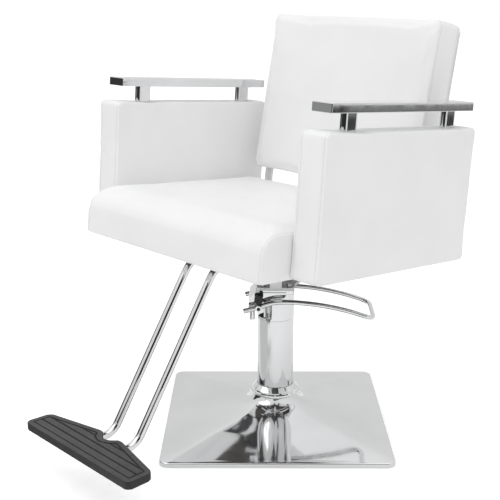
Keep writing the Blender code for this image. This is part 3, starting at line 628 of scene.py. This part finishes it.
def soften(obj, width):
    """Rounds the object's edges."""
    modifier = obj.modifiers.new("edges", "BEVEL")
    modifier.width = width
    modifier.segments = 2
    modifier.limit_method = "ANGLE"
    modifier.angle_limit = math.radians(35)
    return applied(obj, 35)


# ---------------------------------------------------------------- upholstery

def coordinates_of(mesh):
    flat = np.empty(len(mesh.vertices) * 3, np.float32)
    mesh.vertices.foreach_get("co", flat)
    return flat.reshape(-1, 3).astype(float)


def set_coordinates(mesh, points):
    mesh.vertices.foreach_set("co", points.astype(np.float32).ravel())
    mesh.update()


def cover(name, outline, low, high, matrix, edge):
    """The cover before it is filled: an even mesh over the cushion's form, in the cushion's own frame."""
    obj = object_from(name, slab(outline, low, high, matrix, edge, 5))
    remesh = obj.modifiers.new("even", "REMESH")
    remesh.mode = "VOXEL"
    remesh.voxel_size = VOXEL
    return applied(obj)


def ready_for_filling(obj, held):
    """Gives the cover a cloth that holds still where held, a test of its points, says so. Returns them."""
    group = obj.vertex_groups.new(name="held")
    points = coordinates_of(obj.data)
    group.add([int(i) for i in np.flatnonzero(held(points))], 1.0, "REPLACE")
    modifier = obj.modifiers.new("cloth", "CLOTH")
    cloth = modifier.settings
    cloth.quality = 5
    cloth.mass = 0.3
    cloth.use_pressure = True
    cloth.uniform_pressure_force = 4.0
    cloth.effector_weights.gravity = 0
    cloth.vertex_group_mass = "held"
    modifier.point_cache.frame_start, modifier.point_cache.frame_end = 1, CLOTH_FRAMES
    return points


def fill(covers):
    """Blows all the covers up together, then limits how far each point went and keeps it inside its box."""
    rest = {obj.name: ready_for_filling(obj, facts["held"]) for obj, facts in covers}
    for number in range(1, CLOTH_FRAMES + 1):
        bpy.context.scene.frame_set(number)
    graph = bpy.context.evaluated_depsgraph_get()
    blown = {obj.name: coordinates_of(obj.evaluated_get(graph).data) for obj, _ in covers}
    for obj, facts in covers:
        obj.modifiers.remove(obj.modifiers["cloth"])
        moved = blown[obj.name] - rest[obj.name]
        normals = np.array([tuple(v.normal) for v in obj.data.vertices])
        out = (moved * normals).sum(axis=1, keepdims=True)
        slid = moved - out * normals
        moved = np.maximum(out, FOAM_GIVES * out) * normals + FOAM_GIVES * slid
        far = np.maximum(np.linalg.norm(moved, axis=1, keepdims=True), 1e-9)
        points = rest[obj.name] + moved / far * facts["cap"] * np.tanh(far / facts["cap"])
        low, high = facts["room"]
        set_coordinates(obj.data, np.clip(points, low, high))
    bpy.context.scene.frame_set(1)


def turn_under(obj):
    """The seat's cover is turned in under the board's rim, and the board shows inside it."""
    points = coordinates_of(obj.data)
    under = points[:, 2] < SEAT_LOW + HEM_TUCK / 2
    inside = (np.abs(points[:, 0]) < HEM_HALF) & (points[:, 1] > HEM_FRONT) & (points[:, 1] < HEM_REAR)
    points[under & inside, 2] = SEAT_LOW + HEM_TUCK
    points[under & ~inside, 2] = np.minimum(points[under & ~inside, 2], SEAT_LOW - HEM_DROP)
    set_coordinates(obj.data, points)


def dip_at_posts(obj, side):
    """Each post draws the armrest's cover in round its foot."""
    points = coordinates_of(obj.data)
    middle = side * (BAR_IN + BAR_OUT) / 2
    for y in POST_Y.values():
        away = np.hypot(points[:, 0] - middle, points[:, 1] - y)
        top = points[:, 2] > PANEL_TOP - POST_DIP_REACH / 2
        points[:, 2] -= np.where(top, POST_DIP * np.exp(-((away / POST_DIP_REACH) ** 2)), 0)
    set_coordinates(obj.data, points)


def press_seams(obj, seams):
    """Draws the cover in along each seam, a closed line, and returns the seams laid on its surface."""
    points = coordinates_of(obj.data)
    normals = np.array([tuple(v.normal) for v in obj.data.vertices])
    surface = BVHTree.FromObject(obj, bpy.context.evaluated_depsgraph_get())
    lines = []
    for seam in seams:
        line = []
        for a, b in zip(seam, seam[1:] + seam[:1]):
            start, end = Vector(a), Vector(b)
            count = max(1, int((end - start).length / SEAM_STEP))
            line += [surface.find_nearest(start.lerp(end, k / count))[0] for k in range(count)]
        lines.append(line)
    laid = [point for line in lines for point in line]
    tree = KDTree(len(laid))
    for i, point in enumerate(laid):
        tree.insert(point, i)
    tree.balance()
    away = np.array([tree.find(Vector(p))[2] for p in points])
    set_coordinates(obj.data, points - normals * (SEAM_DEPTH * np.exp(-((away / SEAM_WIDTH) ** 2)))[:, None])
    pressed = BVHTree.FromObject(obj, bpy.context.evaluated_depsgraph_get())
    return [[tuple(pressed.find_nearest(point)[0]) for point in line[::2]] for line in lines]


def sewn_lines(name, lines, matrix, body):
    """A thin thread along each seam, half sunk in the cover."""
    bm = bmesh.new()
    for line in lines:
        thread = swept("thread", line, THREAD, 2, cyclic=True)
        bm.from_mesh(thread.data)
        bpy.data.objects.remove(thread, do_unlink=True)
    mesh = mesh_from(name, bm)
    mesh.transform(matrix)
    mesh.shade_smooth()
    mesh.materials.append(MATERIALS["thread"])
    obj = in_scene(name, mesh)
    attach(obj, body)


def upholster(obj, facts):
    """Smooths a cover, sews its seams and moves it out of the cushion's own frame."""
    smooth = obj.modifiers.new("smooth", "SMOOTH")
    smooth.factor, smooth.iterations = 0.5, 1
    finer = obj.modifiers.new("finer", "SUBSURF")
    finer.levels = finer.render_levels = 1
    obj = applied(obj)
    lines = press_seams(obj, facts["seams"])
    sewn_lines(obj.name.replace("cover", "seams"), lines, facts["frame"], "chair")
    obj.data.transform(facts["frame"])
    finish_piece(obj, "white_vinyl", "chair", facts["nodes"])


# Each of these makes one cover. Its facts are the points that hold still, the furthest that a point may go,
# the corners of the box that it stays in, its seams, the frame it is drawn in, its CAD node and its fullness.

def seat_cover():
    front, rear = SEAT_FRONT - FULLER, SEAT_REAR + FULLER
    corners = [(front, SEAT_LOW - 0.004), (rear, SEAT_LOW), (rear, SEAT_TOP), (front, SEAT_TOP + FULLER)]
    profile = rounded(corners, [0.003, 0.006, 0.018, 0.038], 8, cyclic=True)
    return cover("seat_cover", profile, -SEAT_HALF - FULLER, SEAT_HALF + FULLER, ALONG_X, 0.005), {
        "held": lambda points: points[:, 2] < SEAT_LOW + GLUED, "cap": 0.011,
        "room": ((-SEAT_HALF - SEAT_SIDE_ROOM, SEAT_FRONT - SEAT_SAG, SEAT_LOW - SEAT_SAG),
                 (SEAT_HALF + SEAT_SIDE_ROOM, SEAT_REAR + ROOM, SEAT_TOP + CROWN)),
        "seams": [[(x, y, z) for y, z in profile] for x in (-SEAT_HALF + 0.004, SEAT_HALF - 0.004)],
        "frame": SEAT_FRAME, "nodes": ["seat_cushion"], "fill": 0.8}


def arm_cover(side, name):
    outline = rectangle((PANEL_FRONT - FULLER, PANEL_LOW), (PANEL_REAR + FULLER, PANEL_TOP - 0.0005), 0.009)
    low, high = sorted((side * (PANEL_IN - FULLER), side * (PANEL_OUT + FULLER)))
    near, far = sorted((side * (PANEL_IN - PANEL_NEAR_ROOM), side * (PANEL_OUT + ROOM)))
    return cover(f"arm_cover_{name}", outline, low, high, ALONG_X, 0.0025), {
        "held": lambda points: points[:, 2] < PANEL_LOW + GLUED, "cap": 0.006,
        "room": ((near, PANEL_FRONT - ROOM, PANEL_LOW), (far, PANEL_REAR + ROOM, PANEL_TOP + 0.001)),
        "seams": [[(x, y, z) for y, z in outline]
                  for x in (side * (PANEL_IN + 0.0045), side * (PANEL_OUT - 0.0045))],
        "frame": SEAT_FRAME, "nodes": [f"arm_panel_{name}"], "fill": 0.85}


def back_outline():
    return rectangle((-BACK_HALF - FULLER, -FULLER), (BACK_HALF + FULLER, BACK_HEIGHT + 1.8 * FULLER), 0.014)


def back_cover():
    outline = back_outline()
    return cover("back_cover", outline, -BACK_FOAM, FULLER, ALONG_Y, 0.004), {
        "held": lambda points: points[:, 1] > BACK_FOAM - BACK_GLUED, "cap": 0.0055,
        "room": ((-BACK_HALF - 0.002, -0.006, -0.001), (BACK_HALF + 0.002, BACK_FOAM, BACK_HEIGHT + ROOM)),
        "seams": [[(x, y, z) for x, z in outline] for y in (0.006, BACK_FOAM - 0.006)],
        "frame": BACK_FRAME, "nodes": ["back_cushion"], "fill": 0.75}


def back_rear_cover():
    """A thin covered board, which isn't filled, so it needs fewer facts."""
    outline = back_outline()
    near = -BACK_FOAM - BOARD_GAP
    seam = [(x * REAR_SEAM_SCALE, BACK_FOAM + BACK_BOARD, REAR_SEAM_RISE + z * REAR_SEAM_SCALE)
            for x, z in outline]
    return cover("back_rear_cover", outline, near - BACK_BOARD, near, ALONG_Y, 0.0025), {
        "seams": [seam], "frame": BACK_FRAME, "nodes": ["back_panel"], "fill": 0.9}


def upholstery():
    seat, left, right = seat_cover(), arm_cover(1, "left"), arm_cover(-1, "right")
    work = [seat, left, right, back_cover()]
    rear = back_rear_cover()
    fill(work)
    dip_at_posts(left[0], 1)
    dip_at_posts(right[0], -1)
    turn_under(seat[0])
    for obj, facts in (*work, rear):
        upholster(obj, facts)


# ---------------------------------------------------------------- foot and pump

def pan_outline(half, height, roundness):
    """One level of the pan: a square with small corners at roundness 0, a circle at 1."""
    inner = BASE_HALF - BASE_CORNER
    points = []
    for quarter in range(4):
        turn = Matrix.Rotation(quarter * math.pi / 2, 2)
        flat = [Vector((BASE_HALF, inner * (2 * k / PAN_STRAIGHT_STEPS - 1)))
                for k in range(PAN_STRAIGHT_STEPS)]
        bend = [Vector((inner, inner)) + BASE_CORNER * Vector((math.cos(a), math.sin(a)))
                for a in (k / PAN_CORNER_STEPS * math.pi / 2 for k in range(PAN_CORNER_STEPS))]
        for point in flat + bend:
            point = turn @ point
            mixed = (point * (half / BASE_HALF)).lerp(point.normalized() * half, roundness)
            points.append((mixed.x, mixed.y, height))
    return points


def base_pan():
    slope = smooth_path([(half, height, 0) for half, height in PAN_SLOPE], 6)
    bm = bmesh.new()
    rings = []
    for half, height in PAN_RIM + [point[:2] for point in slope]:
        ease = max(0.0, min(1.0, (PAN_SQUARE - half) / (PAN_SQUARE - PAN_ROUND)))
        roundness = ease * ease * (3 - 2 * ease)
        rings.append([bm.verts.new(point) for point in pan_outline(half, height, roundness)])
    for lower, upper in zip(rings, rings[1:]):
        for i in range(len(lower)):
            j = (i + 1) % len(lower)
            bm.faces.new((lower[i], lower[j], upper[j], upper[i]))
    pan = object_from("foot_pan", bm, BASE_FRAME, 70)
    wall = pan.modifiers.new("wall", "SOLIDIFY")
    wall.thickness = PAN_WALL
    wall.offset = -1
    finish_piece(applied(pan, 70), "chrome", "base", ["base_pan"])


def pump():
    low, top = (corner.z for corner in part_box("jacket_tube"))
    jacket = [(JACKET_RADIUS, top), (JACKET_RADIUS, low), (JACKET_BORE, low), (JACKET_BORE, top)]
    finish_piece(lathe("pump_jacket", jacket, BASE_FRAME, 128), "chrome", "base", ["jacket_tube"])
    finish_piece(lathe("foot_collar", TRIM_RING, BASE_FRAME, 128), "chrome", "base", ["trim_ring"])
    low, top = (corner.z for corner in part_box("ram"))
    finish_piece(pin("ram_rod", RAM_RADIUS, low, top, sides=96), "chrome", "lift", ["ram"])


def window(low, high):
    """A block to cut a window with."""
    outline = [(low[0], low[1]), (high[0], low[1]), (high[0], high[1]), (low[0], high[1])]
    return object_from("window", slab(outline, low[2], high[2]))


def pump_head():
    housing = rounded(HOUSING, HOUSING_BENDS, 6, cyclic=True)
    flange = rectangle((-FLANGE_HALF, -FLANGE_HALF), (FLANGE_HALF, FLANGE_HALF), 0.006)
    pivot = Matrix.Translation((PIVOT_S, 0, PIVOT_Z)) @ ALONG_Y
    roller = Matrix.Translation((PIVOT_S, 0, ROLLER_Z)) @ ALONG_Y
    solids = [
        object_from("housing", slab(housing, -CHEEK_HALF, CHEEK_HALF, ALONG_Y)),
        object_from("flange", slab(flange, FLANGE_LOW, HEAD_TOP)),
        pin("bosses", BOSS_RADIUS, -BOSS_END, BOSS_END, pivot, 0.0005, 40),
        pin("stubs", STUB_RADIUS, -STUB_END, STUB_END, roller, 0.0004, 32),
    ]
    cutters = [
        pin("ram_bore", RAM_BORE, 0.2, RAM_BORE_TOP, chamfer=0.0),
        *(window(low, high) for low, high in WINDOWS),
        pin("plunger_hole", PLUNGER_HOLE, 0.2, 0.25, Matrix.Translation((PLUNGER_S, PLUNGER_T, 0)), 0.0, 24),
        pin("bolt_hole", BOLT_HOLE, -BOLT_HOLE_END, -BOLT_HOLE_START, pivot, 0.0, 24),
        pin("bolt_hole", BOLT_HOLE, BOLT_HOLE_START, BOLT_HOLE_END, pivot, 0.0, 24),
    ]
    head = pin("pump_casting", HEAD_RADIUS, HEAD_LOW, CASTING_TOP, chamfer=0.0008, sides=96)
    head = combine(head, solids, "UNION")
    head = combine(head, cutters, "DIFFERENCE")
    head = soften(head, 0.0005)
    head.data.transform(LEVER_FRAME)
    finish_piece(head, "chrome", "chair", ["pump_head"])


def head_pieces():
    valve = LEVER_FRAME @ Matrix.Translation((VALVE_S, VALVE_T, 0))
    finish_piece(pin("valve_pin", VALVE_RADIUS, VALVE_LOW, VALVE_TOP, valve, 0.0009), "chrome", "chair",
                 ["valve_barrel"])
    for name, side in (("near", -1), ("far", 1)):
        out = Matrix.Rotation(side * -math.pi / 2, 4, "X")
        at = LEVER_FRAME @ Matrix.Translation((PIVOT_S, 0, ROLLER_Z)) @ out
        finish_piece(lathe(f"roller_{name}", ROLLER, at, 48), "rubber", "chair", [f"stop_roller_{name}"])
        at = LEVER_FRAME @ Matrix.Translation((PIVOT_S, side * SCREW_FACE, PIVOT_Z)) @ out
        finish_piece(lathe(f"pivot_screw_{name}", SCREW, at, 48), "chrome", "chair", [f"pivot_bolt_{name}"])
        plug = pin(f"pivot_plug_{name}", PLUG_RADIUS, PLUG_LOW, PLUG_TOP, at, 0.0004, 32)
        finish_piece(plug, "rubber", "chair", [])


def lever_height(s):
    """The height of the lever's middle line, which droops a little towards its tip."""
    return 0.2812 + 0.03 * s - s * s


def lever():
    arm = [(s, lever_height(s)) for s in LEVER_STATIONS]
    leg = smooth_path([(s, 0, z) for s, z in LEVER_TAIL + arm], 5)
    near = [(s, -LEVER_HALF, z) for s, _, z in leg]
    far = [(s, LEVER_HALF, z) for s, _, z in leg]
    ends = [(LEVER_TIP, t, lever_height(LEVER_TIP)) for t in (-LEVER_HALF, LEVER_HALF)]
    loop = near[:-1] + rounded([near[-1], *ends, far[-1]], LEVER_BEND, 10) + far[-2::-1]
    rod = swept("lever_rod", loop, LEVER_ROD)
    rod.data.transform(LEVER_FRAME)
    finish_piece(rod, "chrome", "lever", ["pump_lever"])


# ---------------------------------------------------------------- arms and footrest

def arms():
    for side, name in ((1, "left"), (-1, "right")):
        low, high = sorted((side * BAR_IN, side * BAR_OUT))
        outline = rectangle((low, BAR_FRONT), (high, BAR_REAR), 0.0016, 4)
        bar = object_from(f"armrest_{name}", slab(outline, BAR_LOW, BAR_TOP, SEAT_FRAME, 0.0012, 4))
        finish_piece(bar, "chrome", "chair", [f"arm_bar_{name}"])
        middle = (low + high) / 2
        long, short = POST_LONG / 2, POST_SHORT / 2
        for where, y in POST_Y.items():
            outline = rectangle((middle - short, y - long), (middle + short, y + long), short - HAIR, 14)
            post = object_from(f"post_{where}_{name}",
                               slab(outline, PANEL_TOP - POST_SUNK, BAR_LOW - HAIR, SEAT_FRAME, 0.0003, 2))
            finish_piece(post, "chrome", "chair", [f"arm_post_{where}_{name}"])


def inset_outline(outline, distance):
    """The outline, which runs anticlockwise, moved inwards. Its sharpest corners are held back a little."""
    points = [Vector(p) for p in outline]
    result = []
    for i, here in enumerate(points):
        before, after = points[i - 1], points[(i + 1) % len(points)]
        first, second = (here - before).normalized(), (after - here).normalized()
        normal = (Vector((-first.y, first.x)) + Vector((-second.y, second.x))).normalized()
        slant = normal.dot(Vector((-first.y, first.x)))
        result.append(here + normal * distance / max(slant, 0.6))
    return result


def crossings(outline, y):
    """Where a line of constant y crosses an outline, from left to right."""
    found = []
    for a, b in zip(outline, outline[1:] + outline[:1]):
        if (a.y - y) * (b.y - y) < 0:
            found.append(a.x + (b.x - a.x) * (y - a.y) / (b.y - a.y))
    return sorted(found)


def footrest():
    for side, name in ((1, "left"), (-1, "right")):
        path = rounded([(side * TUBE_X, y, z) for y, z in TUBE_PATH], TUBE_BENDS, 14)
        tube = swept(f"strut_{name}", path, TUBE_RADIUS, 9)
        finish_piece(tube, "chrome", "chair", [f"footrest_tube_{name}"])
    half = PAD_HALF + [PAD_NECK, (0.0, PAD_NOTCH_Y)]
    corners = half + [(-x, y) for x, y in half[-2::-1]]
    radii = [0.008, 0.010, 0.004, 0.004, 0.010, 0.020, 0.010, 0.004, 0.004, 0.010, 0.008]
    outline = rounded(corners, radii, 6, cyclic=True)
    pad = object_from("tread_pad", slab(outline, PAD_LOW, PAD_TOP, UPRIGHT, 0.0018, 3))
    border = inset_outline(rounded(corners, 0.0, 1, cyclic=True), PAD_BORDER)
    cutters = [swept("border", [(p.x, p.y, PAD_TOP) for p in border], GROOVE, 2, cyclic=True)]
    for k in range(1, PAD_LINES + 1):
        y = PAD_FRONT + PAD_BORDER + k * PAD_LINE_STEP
        ends = crossings(border, y)
        for a, b in zip(ends[::2], ends[1::2]):
            cutters.append(swept("line", [(a, y, PAD_TOP), (b, y, PAD_TOP)], GROOVE, 2))
    for cutter in cutters:
        pad = combine(pad, [cutter], "DIFFERENCE")
    finish_piece(pad, "tread", "chair", ["footrest_pad"])


# ---------------------------------------------------------------- the CAD nodes that stay

def carried_over():
    """Gives each CAD node that still shows its procedural material and a small round on its edges."""
    for row in frame["record"]["subparts"]:
        node = frame["nodes"][row["node"]]
        if node.hide_render:
            continue
        node.data.materials.clear()
        node.data.materials.append(MATERIALS[row["material_slot"]])
        weld = node.modifiers.new("weld", "WELD")
        weld.merge_threshold = 0.00001
        edges = node.modifiers.new("edges", "BEVEL")
        edges.width = 0.0004
        edges.segments = 2
        edges.limit_method = "ANGLE"
        edges.angle_limit = math.radians(50)
        edges.harden_normals = True


camera()
studio()
floor()
upholstery()
base_pan()
pump()
pump_head()
head_pieces()
lever()
arms()
footrest()
carried_over()
